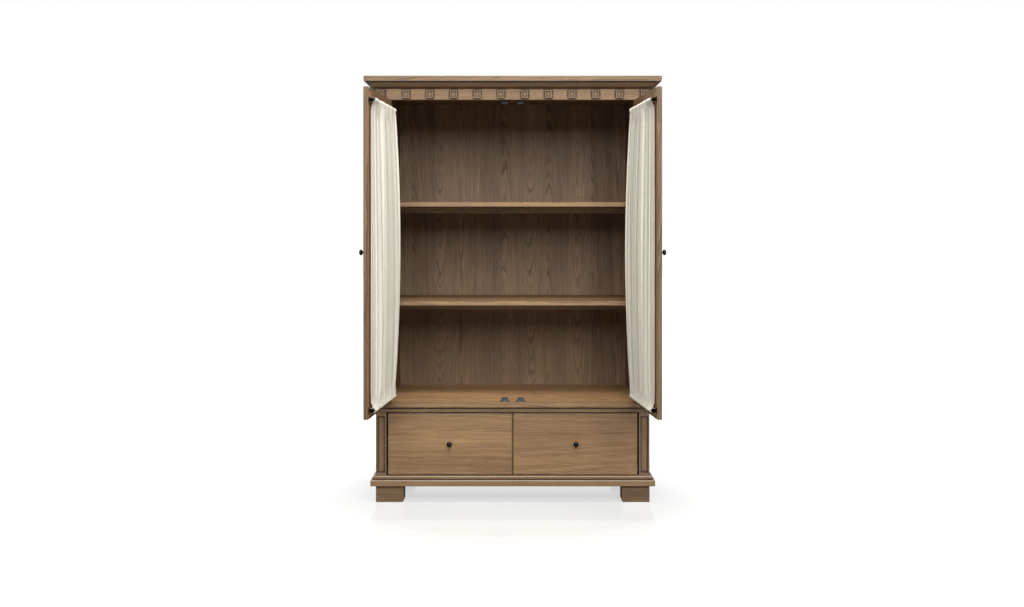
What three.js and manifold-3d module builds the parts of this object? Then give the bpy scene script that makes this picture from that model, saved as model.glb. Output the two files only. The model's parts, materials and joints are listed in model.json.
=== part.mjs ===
// Two-door armoire with curtained wire-mesh doors, two fixed shelves and two drawers.
// Millimetres, +Z up. The front faces -Y and the origin lies on the floor, under the middle of the
// whole object as it stands with both doors open.

import * as THREE from "three";
import { mergeVertices } from "three/addons/utils/BufferGeometryUtils.js";
import Module from "manifold-3d";

const wasm = await Module();
wasm.setup();

// ---- driving dimensions ----

const clearance = 0.3; // between two pieces that touch
const height = 2011;
const capWidth = 1400;
const bodyWidth = 1294;
const bodyDepth = 740; // front plane of the pilasters to the back
const pilasterWidth = 49.5; // and the thickness of the sides behind them
const pilasterDepth = 25;

const capThickness = 25;
const crownHeight = 31;
const crownReach = 28;
const friezeHeight = 52;
const friezeDepth = 42;
const friezeSetback = 3;

const footHeight = 79;
const footWidth = 131;
const footDepth = 100;
const baseLowerHeight = 28;
const baseUpperHeight = 18;
const baseLowerReach = 24;
const baseUpperReach = 10;

const deckTop = 472;
const deckThickness = 24;
const deckReach = 8;
const waistHeight = 23;
const waistReach = 4;

const shelfThickness = 22.5;
const shelfTops = { lower: 944.5, upper: 1422 };
const shelfSetback = 130;
const bearerSetback = 285;
const bearerHeight = 30;
const bearerThickness = 20;

const blockWidth = 34;
const blockHeight = 40;
const blockReach = 8;
const blockPitch = 112.1;
const blocksPerSide = 5;
const blockRecess = { width: 21, height: 25 };

const doorThickness = 21;
const doorGap = 3; // above and below
const doorMiddleGap = 3.5; // between the two doors when closed
const doorOpenAngle = 94.5; // degrees from closed, as the doors stand
const doorEdgeGap = 3.7; // at the hinge side, filled by the hinge leaves
const pinForward = 4; // hinge pin axis in front of the front plane
const stileWidth = 65;
const topRailHeight = 70;
const bottomRailHeight = 82;
const rebateWidth = 8;
const rebateDepth = 11;
const meshThickness = 1;

const hingeHeights = [655, 1720];
const hingeLength = 76;
const leafThickness = 1.2;
const knuckleRadius = 3.5;
const pinRadius = 1.6;

const doorKnobHeight = 1190;

const rodRadius = 5;
const rodOffset = 18; // rod axis off the door's inner face
const rodHeights = { top: 1845, bottom: 514 };
const rodEnds = [48, 12]; // bracket centres from the hinge edge and from the leading edge
const curtainEnds = [64, 18];
const curtainHeader = 11; // cloth above the top rod and below the bottom one
const curtainNear = 8; // cloth off the inner face, nearest and farthest
const curtainFar = 28;
const curtainBulge = 24;

const catchSpread = 38; // centre of a catch from the middle plane
const drawerGap = 5;
const drawerBoxDepth = 520;
const drawerWall = 12;
const drawerTravelClearance = 1;

// ---- levels and planes worked out from them ----

const halfBody = bodyWidth / 2;
const openingHalf = halfBody - pilasterWidth; // inner face of a pilaster and of a side
const capBottom = height - capThickness;
const crownBottom = capBottom - crownHeight;
const friezeBottom = crownBottom - friezeHeight;
const baseStep = footHeight + baseLowerHeight;
const baseTop = baseStep + baseUpperHeight;
const deckBottom = deckTop - deckThickness;
const waistBottom = deckBottom - waistHeight;
const backPlane = bodyDepth - 14; // front face of the back panel
const doorBottom = deckTop + doorGap;
const doorTop = friezeBottom - doorGap;
const pinX = openingHalf - doorEdgeGap / 2;
const doorWidth = pinX - (doorEdgeGap + doorMiddleGap) / 2;
const openRadians = THREE.MathUtils.degToRad(doorOpenAngle);
const doorReach = pinForward + (doorWidth + doorEdgeGap / 2) * Math.sin(openRadians)
  - (pinForward + doorThickness) * Math.cos(openRadians);

// ---- materials ----

function finish(colour, roughness, metalness = 0) {
  return new THREE.MeshStandardMaterial({ color: colour, roughness, metalness });
}

const stainedAsh = finish(0x8f7358, 0.62);
const darkAsh = finish(0x624f3c, 0.66);
const curtainCloth = finish(0xdbd4c3, 0.95);
const blackIron = finish(0x1d1b19, 0.5, 0.7);
const greyPlastic = finish(0x6f7072, 0.55);
const wireMesh = finish(0x4a443c, 0.5, 0.8);

// ---- geometry helpers ----

// A box from its lowest and highest X, Y and Z.
function board([x0, x1], [y0, y1], [z0, z1]) {
  const box = new THREE.BoxGeometry(x1 - x0, y1 - y0, z1 - z0);
  return box.translate((x0 + x1) / 2, (y0 + y1) / 2, (z0 + z1) / 2);
}

function toSolid(geometry) {
  const bare = geometry.clone();
  bare.deleteAttribute("normal");
  bare.deleteAttribute("uv");
  const merged = mergeVertices(bare, 1e-4);
  return new wasm.Manifold(new wasm.Mesh({
    numProp: 3,
    vertProperties: new Float32Array(merged.attributes.position.array),
    triVerts: new Uint32Array(merged.index.array),
  }));
}

function toGeometry(solid) {
  const mesh = solid.getMesh();
  const geometry = new THREE.BufferGeometry();
  geometry.setAttribute("position", new THREE.BufferAttribute(mesh.vertProperties, 3));
  geometry.setIndex(new THREE.BufferAttribute(mesh.triVerts, 1));
  const faceted = geometry.toNonIndexed();
  faceted.computeVertexNormals();
  return faceted;
}

function join(geometries) {
  const [first, ...rest] = geometries.map(toSolid);
  return toGeometry(rest.reduce((sum, solid) => sum.add(solid), first));
}

function cut(geometry, tools) {
  return toGeometry(tools.map(toSolid).reduce((left, tool) => left.subtract(tool), toSolid(geometry)));
}

// A closed solid through rings of the same number of points, from the bottom ring to the top one.
// Each ring runs counter-clockwise seen from the side that the rings advance towards.
function loft(rings) {
  const count = rings[0].length;
  const positions = rings.flat(2);
  const index = [];
  for (let ring = 0; ring < rings.length - 1; ring += 1) {
    for (let i = 0; i < count; i += 1) {
      const here = ring * count + i;
      const next = ring * count + ((i + 1) % count);
      index.push(here, next, next + count, here, next + count, here + count);
    }
  }
  const last = (rings.length - 1) * count;
  for (let i = 1; i < count - 1; i += 1) {
    index.push(0, i + 1, i, last, last + i, last + i + 1);
  }
  const geometry = new THREE.BufferGeometry();
  geometry.setAttribute("position", new THREE.Float32BufferAttribute(positions, 3));
  geometry.setIndex(index);
  return geometry;
}

// A moulding round the front and both sides, mitred at the corners. The profile is a list of
// [reach beyond the body, height], from the bottom up. The core is left open to the back.
function wrappedMoulding(profile, coreHalf, coreFront) {
  const rings = profile.map(([reach, z]) => [
    [-halfBody - reach, -reach, z],
    [halfBody + reach, -reach, z],
    [halfBody + reach, bodyDepth, z],
    [-halfBody - reach, bodyDepth, z],
  ]);
  const core = board([-coreHalf, coreHalf], [coreFront, bodyDepth + 50], [0, height + 50]);
  return cut(loft(rings), [core]);
}

// A cylinder along X, Y or Z, from its middle.
function bar(axis, radius, length, [x, y, z], sides = 16) {
  const cylinder = new THREE.CylinderGeometry(radius, radius, length, sides);
  if (axis === "x") cylinder.rotateZ(Math.PI / 2);
  if (axis === "z") cylinder.rotateX(Math.PI / 2);
  return cylinder.translate(x, y, z);
}

function addPart(parent, name, geometry, material) {
  const mesh = new THREE.Mesh(geometry, material);
  mesh.name = name;
  parent.add(mesh);
  return mesh;
}

// The name of a side, -1 for left and 1 for right as seen from the front.
function sideName(side) {
  return side < 0 ? "left" : "right";
}

// A range of X on one side of the middle, given from the middle outwards.
function across(side, inner, outer) {
  return side < 0 ? [-outer, -inner] : [inner, outer];
}

// ---- top ----

function capBoard() {
  const reach = (capWidth - bodyWidth) / 2;
  const ease = 1.5;
  const ring = (inset, z) => [
    [-capWidth / 2 + inset, -reach + inset, z],
    [capWidth / 2 - inset, -reach + inset, z],
    [capWidth / 2 - inset, bodyDepth, z],
    [-capWidth / 2 + inset, bodyDepth, z],
  ];
  const low = capBottom + clearance;
  return loft([ring(ease, low), ring(0, low + ease), ring(0, height - ease), ring(ease, height)]);
}

// A small fillet, then a convex quarter round up to the cap.
function crownMoulding() {
  const fillet = 3;
  const steps = 8;
  const profile = [[fillet, crownBottom], [fillet, crownBottom + fillet]];
  for (let i = 0; i <= steps; i += 1) {
    const angle = (i / steps) * (Math.PI / 2);
    const reach = fillet + 1 + (crownReach - fillet - 1) * Math.sin(angle);
    const rise = (crownHeight - fillet - 1) * (1 - Math.cos(angle));
    profile.push([reach, crownBottom + fillet + 1 + rise]);
  }
  return wrappedMoulding(profile, openingHalf, 35);
}

// A raised square block with a sunk middle, standing on a face at depth y.
function ornamentBlock(x, y, z) {
  const raised = board(
    [x - blockWidth / 2, x + blockWidth / 2],
    [y - blockReach, y + 2],
    [z - blockHeight / 2, z + blockHeight / 2],
  );
  const sunk = board(
    [x - blockRecess.width / 2, x + blockRecess.width / 2],
    [y - blockReach - 1, y - blockReach / 2],
    [z - blockRecess.height / 2, z + blockRecess.height / 2],
  );
  return cut(raised, [sunk]);
}

const blockCentre = friezeBottom + 27;

function friezeRail() {
  const half = openingHalf - clearance;
  const back = friezeSetback + friezeDepth;
  const pieces = [board([-half, half], [friezeSetback, back], [friezeBottom, crownBottom - clearance])];
  for (let i = 0; i < blocksPerSide; i += 1) {
    for (const side of [-1, 1]) {
      pieces.push(ornamentBlock(side * blockPitch * (i + 0.5), friezeSetback, blockCentre));
    }
  }
  return join(pieces);
}

function headBoard() {
  const front = friezeSetback + friezeDepth + clearance;
  const half = openingHalf - clearance;
  return board([-half, half], [front, backPlane - clearance], [crownBottom - 5, crownBottom + 13]);
}

// ---- sides, back and pilasters ----

function sidePanel(side) {
  return board(
    across(side, openingHalf, halfBody),
    [pilasterDepth, bodyDepth],
    [baseTop + clearance, crownBottom - clearance],
  );
}

// An upright between two levels, its front face routed with a long shallow recess.
function pilaster(side, low, high, recessLow, recessHigh) {
  const recessHalf = 17;
  const recessDepth = 7;
  const middle = side * (halfBody - pilasterWidth / 2);
  const upright = board(across(side, openingHalf, halfBody), [0, pilasterDepth - clearance], [low, high]);
  const recess = board(
    [middle - recessHalf, middle + recessHalf],
    [-1, recessDepth],
    [recessLow, recessHigh],
  );
  return cut(upright, [recess]);
}

function upperPilaster(side) {
  const low = deckTop + clearance;
  const high = crownBottom - clearance;
  const upright = pilaster(side, low, high, low + 22, blockCentre - 46);
  return join([upright, ornamentBlock(side * (halfBody - pilasterWidth / 2), 0, blockCentre)]);
}

function lowerPilaster(side) {
  return pilaster(side, baseTop + clearance, waistBottom - clearance, baseTop + 15, waistBottom - 19);
}

function backPanel() {
  const half = openingHalf - clearance;
  return board([-half, half], [backPlane, backPlane + 8], [baseTop + clearance, crownBottom + 13]);
}

// ---- shelves ----

function shelf(top) {
  const half = openingHalf - clearance;
  return board([-half, half], [shelfSetback, backPlane - clearance], [top - shelfThickness, top]);
}

// A cross rail with an arm along each side panel, under a shelf.
function shelfBearer(top) {
  const half = openingHalf - clearance;
  const high = top - shelfThickness - clearance;
  const frame = board([-half, half], [bearerSetback, backPlane - clearance], [high - bearerHeight, high]);
  const middle = board(
    [-half + bearerThickness, half - bearerThickness],
    [bearerSetback + bearerThickness, bodyDepth],
    [high - bearerHeight - 1, high + 1],
  );
  return cut(frame, [middle]);
}

// ---- deck, waist and drawer bay ----

function deckBoard() {
  const half = openingHalf - clearance;
  const nosing = board([-halfBody, halfBody], [-deckReach, pilasterDepth - clearance], [deckBottom, deckTop]);
  const slab = board([-half, half], [0, backPlane - clearance], [deckBottom, deckTop]);
  return join([nosing, slab]);
}

// A rail with a proud bead along its lower part.
function waistRail() {
  const beadHeight = 16;
  const low = waistBottom;
  const high = deckBottom - clearance;
  const rail = board([-halfBody, halfBody], [2, 22], [low, high]);
  const bead = board([-halfBody, halfBody], [-waistReach, 10], [low, low + beadHeight]);
  return join([rail, bead]);
}

const dividerHalf = 10;

function drawerDivider() {
  return board(
    [-dividerHalf, dividerHalf],
    [24, backPlane - clearance],
    [baseTop + clearance, deckBottom - clearance],
  );
}

const guideInner = 587;
const baseCoreFront = 50;

// The drawers slide on this board, between the divider and a glued strip on each side.
function bottomBoard() {
  const half = openingHalf - clearance;
  const depth = [baseCoreFront + clearance, backPlane - clearance];
  const thickness = 22;
  const guideHeight = 40;
  const panel = board([-half, half], depth, [baseTop - thickness, baseTop]);
  const guides = [-1, 1].map((side) => (
    board(across(side, guideInner, half), depth, [baseTop - 1, baseTop + guideHeight])
  ));
  return join([panel, ...guides]);
}

function baseMoulding() {
  const profile = [
    [baseLowerReach - 2, footHeight],
    [baseLowerReach, footHeight + 2],
    [baseLowerReach, baseStep - 4],
    [baseLowerReach - 1.2, baseStep - 1.2],
    [baseLowerReach - 4, baseStep],
    [baseUpperReach + 1, baseStep + 0.5],
    [baseUpperReach, baseStep + 1.5],
    [baseUpperReach, baseTop - 3],
    [baseUpperReach - 1, baseTop - 1],
    [baseUpperReach - 3, baseTop],
  ];
  return wrappedMoulding(profile, openingHalf, baseCoreFront);
}

// A block foot with a chamfer along the inner bottom edge.
function foot(side, front) {
  const chamfer = 6;
  const depth = [front, front + footDepth];
  const outer = side * halfBody;
  const inner = side * (halfBody - footWidth);
  const section = [
    [outer, 0],
    [inner + side * chamfer, 0],
    [inner, chamfer],
    [inner, footHeight - clearance],
    [outer, footHeight - clearance],
  ];
  const ordered = side < 0 ? section : section.reverse();
  return loft(depth.slice().reverse().map((y) => ordered.map(([x, z]) => [x, y, z])));
}

// ---- magnet catches ----

// A catch fixed to a level face: direction 1 stands up from it, -1 hangs below it.
function magnetCatch(side, level, direction) {
  const x = side * catchSpread;
  const front = doorThickness + 4;
  const rise = (from, to) => [level + direction * from, level + direction * to].sort((a, b) => a - b);
  const plate = board([x - 24.5, x + 24.5], [front + 2, front + 18], rise(clearance, 3));
  const section = [
    [x - 19, level + direction * 2.5],
    [x + 19, level + direction * 2.5],
    [x + 13, level + direction * 19],
    [x - 13, level + direction * 19],
  ];
  const ordered = direction > 0 ? section : section.reverse();
  const body = loft([front + 20, front].map((y) => ordered.map(([px, pz]) => [px, y, pz])));
  const slot = board([x - 11, x + 11], [front - 1, front + 2], rise(6, 15.5));
  return cut(join([plate, body]), [slot]);
}

// ---- hinges ----

// One leaf with its share of the knuckles. Local frame: the pin axis is Z at the origin, and the
// leaf stands in the gap, on the side of the frame (1) or of the door (-1).
function hingeLeaf(gapSide, side, centre) {
  const knuckleCount = 5;
  const pitch = hingeLength / knuckleCount;
  const first = gapSide > 0 ? 0 : 1;
  const leafInner = 0.35;
  const leafX = across(side * gapSide, leafInner, leafInner + leafThickness);
  const low = centre - hingeLength / 2;
  const pieces = [
    board(leafX, [pinForward + 0.6, pinForward + doorThickness - 2], [low, low + hingeLength]),
  ];
  for (let i = first; i < knuckleCount; i += 2) {
    const span = [low + i * pitch + clearance / 2, low + (i + 1) * pitch - clearance / 2];
    pieces.push(bar("z", knuckleRadius, span[1] - span[0], [0, 0, (span[0] + span[1]) / 2]));
    pieces.push(board(leafX, [0, pinForward + 1], span));
  }
  if (gapSide < 0) {
    const bore = bar("z", pinRadius + clearance, hingeLength + 2, [0, 0, centre]);
    return cut(join(pieces), [bore]);
  }
  return join([...pieces, bar("z", pinRadius, hingeLength + 4, [0, 0, centre])]);
}

// ---- doors ----

// Local frame of a door: the pin axis is Z at the origin, the closed door runs from the pin towards
// the middle of the armoire, and its outer face is at y = pinForward.
const doorFace = pinForward;
const doorBack = pinForward + doorThickness;

function doorX(side, fromEdge, toEdge) {
  const edge = doorEdgeGap / 2;
  return across(-side, edge + fromEdge, edge + toEdge);
}

// A stile, its inner edge rebated from the back for the mesh panel.
function doorStile(side, outerEdge, innerEdge) {
  const upright = board(
    doorX(side, Math.min(outerEdge, innerEdge), Math.max(outerEdge, innerEdge)),
    [doorFace, doorBack],
    [doorBottom, doorTop],
  );
  const inward = Math.sign(innerEdge - outerEdge);
  const rebateFrom = innerEdge - inward * rebateWidth;
  const rebateTo = innerEdge + inward;
  const rebate = board(
    doorX(side, Math.min(rebateFrom, rebateTo), Math.max(rebateFrom, rebateTo)),
    [doorBack - rebateDepth, doorBack + 1],
    [doorBottom + bottomRailHeight - rebateWidth, doorTop - topRailHeight + rebateWidth],
  );
  return cut(upright, [rebate]);
}

// A rail between the stiles, rebated on its inner edge; direction 1 is the bottom rail.
function doorRail(side, low, high, direction) {
  const span = doorX(side, stileWidth + clearance, doorWidth - stileWidth - clearance);
  const rail = board(span, [doorFace, doorBack], [low, high]);
  const edge = direction > 0 ? high : low;
  const rebate = board(
    [span[0] - 1, span[1] + 1],
    [doorBack - rebateDepth, doorBack + 1],
    [edge - direction * rebateWidth, edge + direction].sort((a, b) => a - b),
  );
  return cut(rail, [rebate]);
}

function meshPanel(side) {
  const lap = rebateWidth - clearance;
  const face = doorBack - rebateDepth + clearance;
  return board(
    doorX(side, stileWidth - lap, doorWidth - stileWidth + lap),
    [face, face + meshThickness],
    [doorBottom + bottomRailHeight - lap, doorTop - topRailHeight + lap],
  );
}

// A round rod with a screwed foot and a short arm at each end.
function curtainRod(side, z) {
  const ends = [rodEnds[0], doorWidth - rodEnds[1]];
  const y = doorBack + rodOffset;
  const centre = -side * (doorEdgeGap / 2 + (ends[0] + ends[1]) / 2);
  const pieces = [bar("x", rodRadius, ends[1] - ends[0], [centre, y, z], 12)];
  for (const end of ends) {
    const plate = [doorBack + clearance, doorBack + 2.5];
    pieces.push(board(doorX(side, end - 7, end + 7), plate, [z - 13, z + 13]));
    pieces.push(board(doorX(side, end - 5, end + 5), [doorBack + 2, y + 2], [z - 8, z + 8]));
    pieces.push(bar("x", rodRadius + 2, 6, [-side * (doorEdgeGap / 2 + end), y, z], 16));
  }
  return join(pieces);
}

// The gathered cloth as one slab: shallow at the rods, fuller in between, open along both rod pockets.
function curtain(side) {
  const span = doorX(side, curtainEnds[0], doorWidth - curtainEnds[1]);
  const low = rodHeights.bottom - curtainHeader;
  const high = rodHeights.top + curtainHeader;
  const steps = 12;
  const rings = [];
  for (let i = 0; i <= steps; i += 1) {
    const z = low + ((high - low) * i) / steps;
    const bulge = curtainBulge * Math.sin((Math.PI * i) / steps);
    const near = doorBack + curtainNear;
    const far = doorBack + curtainFar + bulge;
    rings.push([[span[0], near, z], [span[1], near, z], [span[1], far, z], [span[0], far, z]]);
  }
  const pockets = Object.values(rodHeights).map((z) => (
    bar("x", rodRadius + clearance, doorWidth, [(span[0] + span[1]) / 2, doorBack + rodOffset, z], 12)
  ));
  return cut(loft(rings), pockets);
}

// A turned knob on its own axis, which points along -Y from a face at y.
function knob(x, y, z) {
  const outline = [[0, 0], [9, 0], [9, 1.5], [5, 3], [4.2, 6], [4.6, 9]];
  const headRadius = 12.5;
  const headHeight = 15.5;
  const steps = 8;
  for (let i = 0; i < steps; i += 1) {
    const angle = (-50 + (140 * i) / steps) * (Math.PI / 180);
    outline.push([headRadius * Math.cos(angle), headHeight + 8.5 * Math.sin(angle)]);
  }
  outline.push([0, headHeight + 8.5]);
  const turned = new THREE.LatheGeometry(outline.map(([r, h]) => new THREE.Vector2(r, h)), 20);
  return toGeometry(toSolid(turned)).rotateX(Math.PI).translate(x, y - clearance, z);
}

function addDoor(parent, side) {
  const suffix = sideName(side);
  const door = new THREE.Group();
  door.position.set(side * pinX, -pinForward, 0);
  door.rotation.z = side * openRadians;
  parent.add(door);

  const knobX = -side * (doorEdgeGap / 2 + doorWidth - stileWidth / 2);
  const wood = [
    ["hinge_stile", doorStile(side, 0, stileWidth)],
    ["lead_stile", doorStile(side, doorWidth, doorWidth - stileWidth)],
    ["top_rail", doorRail(side, doorTop - topRailHeight, doorTop, -1)],
    ["bottom_rail", doorRail(side, doorBottom, doorBottom + bottomRailHeight, 1)],
  ];
  for (const [name, geometry] of wood) addPart(door, `${name}_${suffix}`, geometry, stainedAsh);
  addPart(door, `mesh_panel_${suffix}`, meshPanel(side), wireMesh);
  addPart(door, `curtain_${suffix}`, curtain(side), curtainCloth);
  addPart(door, `rod_top_${suffix}`, curtainRod(side, rodHeights.top), blackIron);
  addPart(door, `rod_bottom_${suffix}`, curtainRod(side, rodHeights.bottom), blackIron);
  addPart(door, `door_knob_${suffix}`, knob(knobX, doorFace, doorKnobHeight), blackIron);
  hingeHeights.forEach((z, i) => {
    const place = i === 0 ? "lower" : "upper";
    addPart(door, `door_leaf_${place}_${suffix}`, hingeLeaf(-1, side, z), blackIron);
  });
}

// ---- drawers ----

const drawerFrontInner = 3;
const drawerFrontOuter = openingHalf - 8.5;
const drawerLow = baseTop + drawerGap;
const drawerHigh = waistBottom - drawerGap;

function drawerFront(side) {
  return board(across(side, drawerFrontInner, drawerFrontOuter), [0, doorThickness], [drawerLow, drawerHigh]);
}

// An open-topped box behind the front.
function drawerBox(side) {
  const inner = dividerHalf + 2;
  const outer = guideInner - 2;
  const front = doorThickness + clearance;
  const low = baseTop + drawerTravelClearance;
  const outside = board(across(side, inner, outer), [front, front + drawerBoxDepth], [low, drawerHigh - 30]);
  const inside = board(
    across(side, inner + drawerWall, outer - drawerWall),
    [front + drawerWall, front + drawerBoxDepth - drawerWall],
    [low + 14, drawerHigh],
  );
  return cut(outside, [inside]);
}

function addDrawer(parent, side) {
  const suffix = sideName(side);
  const knobX = side * (drawerFrontInner + drawerFrontOuter + 6) / 2;
  const knobZ = (drawerLow + drawerHigh) / 2;
  addPart(parent, `drawer_front_${suffix}`, drawerFront(side), stainedAsh);
  addPart(parent, `drawer_box_${suffix}`, drawerBox(side), stainedAsh);
  addPart(parent, `drawer_knob_${suffix}`, knob(knobX, 0, knobZ), blackIron);
}

// ---- carcase ----

function addFrameLeaves(parent, side) {
  const frame = new THREE.Group();
  frame.position.set(side * pinX, -pinForward, 0);
  parent.add(frame);
  hingeHeights.forEach((z, i) => {
    const place = i === 0 ? "lower" : "upper";
    addPart(frame, `frame_leaf_${place}_${sideName(side)}`, hingeLeaf(1, side, z), blackIron);
  });
}

function addCarcase(parent) {
  const wood = [
    ["cap_board", capBoard()],
    ["frieze_rail", friezeRail()],
    ["head_board", headBoard()],
    ["back_panel", backPanel()],
    ["shelf_upper", shelf(shelfTops.upper)],
    ["shelf_lower", shelf(shelfTops.lower)],
    ["shelf_bearer_upper", shelfBearer(shelfTops.upper)],
    ["shelf_bearer_lower", shelfBearer(shelfTops.lower)],
    ["deck_board", deckBoard()],
    ["waist_rail", waistRail()],
    ["drawer_divider", drawerDivider()],
    ["bottom_board", bottomBoard()],
    ["base_moulding", baseMoulding()],
  ];
  for (const [name, geometry] of wood) addPart(parent, name, geometry, stainedAsh);
  addPart(parent, "crown_moulding", crownMoulding(), darkAsh);
  for (const side of [-1, 1]) {
    const suffix = sideName(side);
    addPart(parent, `side_panel_${suffix}`, sidePanel(side), stainedAsh);
    addPart(parent, `upper_pilaster_${suffix}`, upperPilaster(side), stainedAsh);
    addPart(parent, `lower_pilaster_${suffix}`, lowerPilaster(side), stainedAsh);
    addPart(parent, `foot_front_${suffix}`, foot(side, 0), stainedAsh);
    addPart(parent, `foot_back_${suffix}`, foot(side, bodyDepth - footDepth), stainedAsh);
    addPart(parent, `catch_deck_${suffix}`, magnetCatch(side, deckTop, 1), greyPlastic);
    addPart(parent, `catch_head_${suffix}`, magnetCatch(side, friezeBottom, -1), greyPlastic);
    addFrameLeaves(parent, side);
  }
}

// ---- the whole armoire, its origin under the middle of its open extent ----

const armoire = new THREE.Group();
armoire.position.y = (doorReach - bodyDepth) / 2;
addCarcase(armoire);
for (const side of [-1, 1]) {
  addDoor(armoire, side);
  addDrawer(armoire, side);
}

export default armoire;
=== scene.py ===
import json
import math
import random

import bmesh
import bpy
from mathutils import Matrix, Vector

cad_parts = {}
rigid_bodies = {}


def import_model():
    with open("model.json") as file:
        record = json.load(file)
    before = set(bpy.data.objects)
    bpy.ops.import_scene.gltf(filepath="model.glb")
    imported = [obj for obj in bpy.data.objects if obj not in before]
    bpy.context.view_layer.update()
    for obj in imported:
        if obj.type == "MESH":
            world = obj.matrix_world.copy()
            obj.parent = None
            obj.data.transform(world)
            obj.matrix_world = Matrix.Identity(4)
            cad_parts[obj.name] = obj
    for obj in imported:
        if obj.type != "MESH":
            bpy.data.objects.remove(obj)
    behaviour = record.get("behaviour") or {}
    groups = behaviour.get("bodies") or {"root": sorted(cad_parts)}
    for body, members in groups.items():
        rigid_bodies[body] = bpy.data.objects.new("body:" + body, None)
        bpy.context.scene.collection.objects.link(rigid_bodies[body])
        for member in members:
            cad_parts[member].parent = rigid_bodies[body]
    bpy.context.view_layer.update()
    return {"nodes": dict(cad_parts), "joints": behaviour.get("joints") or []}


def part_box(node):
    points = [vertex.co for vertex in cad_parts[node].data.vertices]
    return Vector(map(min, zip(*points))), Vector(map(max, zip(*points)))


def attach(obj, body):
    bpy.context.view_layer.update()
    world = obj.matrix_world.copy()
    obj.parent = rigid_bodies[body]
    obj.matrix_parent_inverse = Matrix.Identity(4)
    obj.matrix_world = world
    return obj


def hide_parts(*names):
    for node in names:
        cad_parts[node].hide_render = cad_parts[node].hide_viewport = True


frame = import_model()
scene = bpy.context.scene
nodes = frame["nodes"]
mm = 0.001

# Helpers shared by every piece.


def hexToLinear(code, alpha=1.0):
    channels = [int(code[i:i + 2], 16) / 255 for i in (0, 2, 4)]
    return [c / 12.92 if c <= 0.04045 else ((c + 0.055) / 1.055) ** 2.4 for c in channels] + [alpha]


def addNode(tree, kind, inputs=None, **settings):
    # an input is a plain value, a socket to link, or a node whose first output is linked
    node = tree.nodes.new(kind)
    for name, value in settings.items():
        setattr(node, name, value)
    for socket, value in (inputs or {}).items():
        if isinstance(value, bpy.types.Node):
            value = value.outputs[0]
        if isinstance(value, bpy.types.NodeSocket):
            tree.links.new(value, node.inputs[socket])
        else:
            node.inputs[socket].default_value = value
    return node


def newMaterial(name):
    material = bpy.data.materials.new(name)
    material.use_nodes = True
    tree = material.node_tree
    tree.nodes.clear()
    shader = addNode(tree, "ShaderNodeBsdfPrincipled")
    addNode(tree, "ShaderNodeOutputMaterial", {"Surface": shader})
    return material, tree, shader


def link(tree, source, target):
    tree.links.new(source.outputs[0] if isinstance(source, bpy.types.Node) else source, target)


def setRamp(node, stops):
    ramp = node.color_ramp
    while len(ramp.elements) < len(stops):
        ramp.elements.new(0.5)
    for element, (place, colour) in zip(ramp.elements, stops):
        element.position = place
        element.color = colour


def toObject(name, bm, material, smoothAngle=None):
    mesh = bpy.data.meshes.new(name)
    bm.to_mesh(mesh)
    bm.free()
    piece = bpy.data.objects.new(name, mesh)
    scene.collection.objects.link(piece)
    mesh.materials.append(material)
    if smoothAngle is not None:
        mesh.polygons.foreach_set("use_smooth", [True] * len(mesh.polygons))
        mesh.set_sharp_from_angle(angle=math.radians(smoothAngle))
    return piece


def camel(name):
    first, *rest = name.split("_")
    return first + "".join(word.capitalize() for word in rest)


def finishPiece(piece, body, slot, *replaced):
    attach(piece, body)
    if replaced:
        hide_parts(*replaced)
    return piece


# The doors: a local frame for each, from its joint. A closed door's joint value is the range's lowest.

axisOf = {"x": Vector((1, 0, 0)), "y": Vector((0, 1, 0)), "z": Vector((0, 0, 1))}
sides = {"left": -1, "right": 1}


def doorFrame(suffix):
    joint = next(j for j in frame["joints"] if j["name"] == f"door_{suffix}_swing")
    opened = -math.radians(joint["range_deg"][0]) * joint["axis"][2]
    turn = Matrix.Rotation(opened, 3, "Z")
    return {
        "pin": Vector((joint["pos_m"][0], joint["pos_m"][1], 0)),
        "along": turn @ Vector((-sides[suffix], 0, 0)),  # from the pin to the leading edge
        "inward": turn @ Vector((0, 1, 0)),  # from the outer face to the inner one
        "body": f"door_{suffix}",
        "suffix": suffix,
    }


def fromDoor(door, along, inward, z):
    return door["pin"] + door["along"] * along + door["inward"] * inward + Vector((0, 0, z))


def doorBox(door, node):
    # lowest and highest (along, inward, z) of a CAD node in its door's own frame
    points = []
    for vertex in nodes[node].data.vertices:
        offset = vertex.co - door["pin"]
        points.append((offset.dot(door["along"]), offset.dot(door["inward"]), vertex.co.z))
    return [min(p[i] for p in points) for i in range(3)], [max(p[i] for p in points) for i in range(3)]


doors = [doorFrame("left"), doorFrame("right")]

# Camera, at eye height well in front, level, with its frame shifted down to take in the feet.

cameraLook = {"distance": 6.143, "height": 1.282, "lens": 45.67, "shiftX": -0.0007, "shiftY": -0.0708}
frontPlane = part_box("lower_pilaster_left")[0].y
cameraData = bpy.data.cameras.new("camera")
cameraData.lens = cameraLook["lens"]
cameraData.shift_x = cameraLook["shiftX"]
cameraData.shift_y = cameraLook["shiftY"]
cameraData.clip_end = 100
camera = bpy.data.objects.new("camera", cameraData)
camera.location = (0, frontPlane - cameraLook["distance"], cameraLook["height"])
camera.rotation_euler = (math.pi / 2, 0, 0)
scene.collection.objects.link(camera)
scene.camera = camera
print("camera placed")

# Materials.

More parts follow.
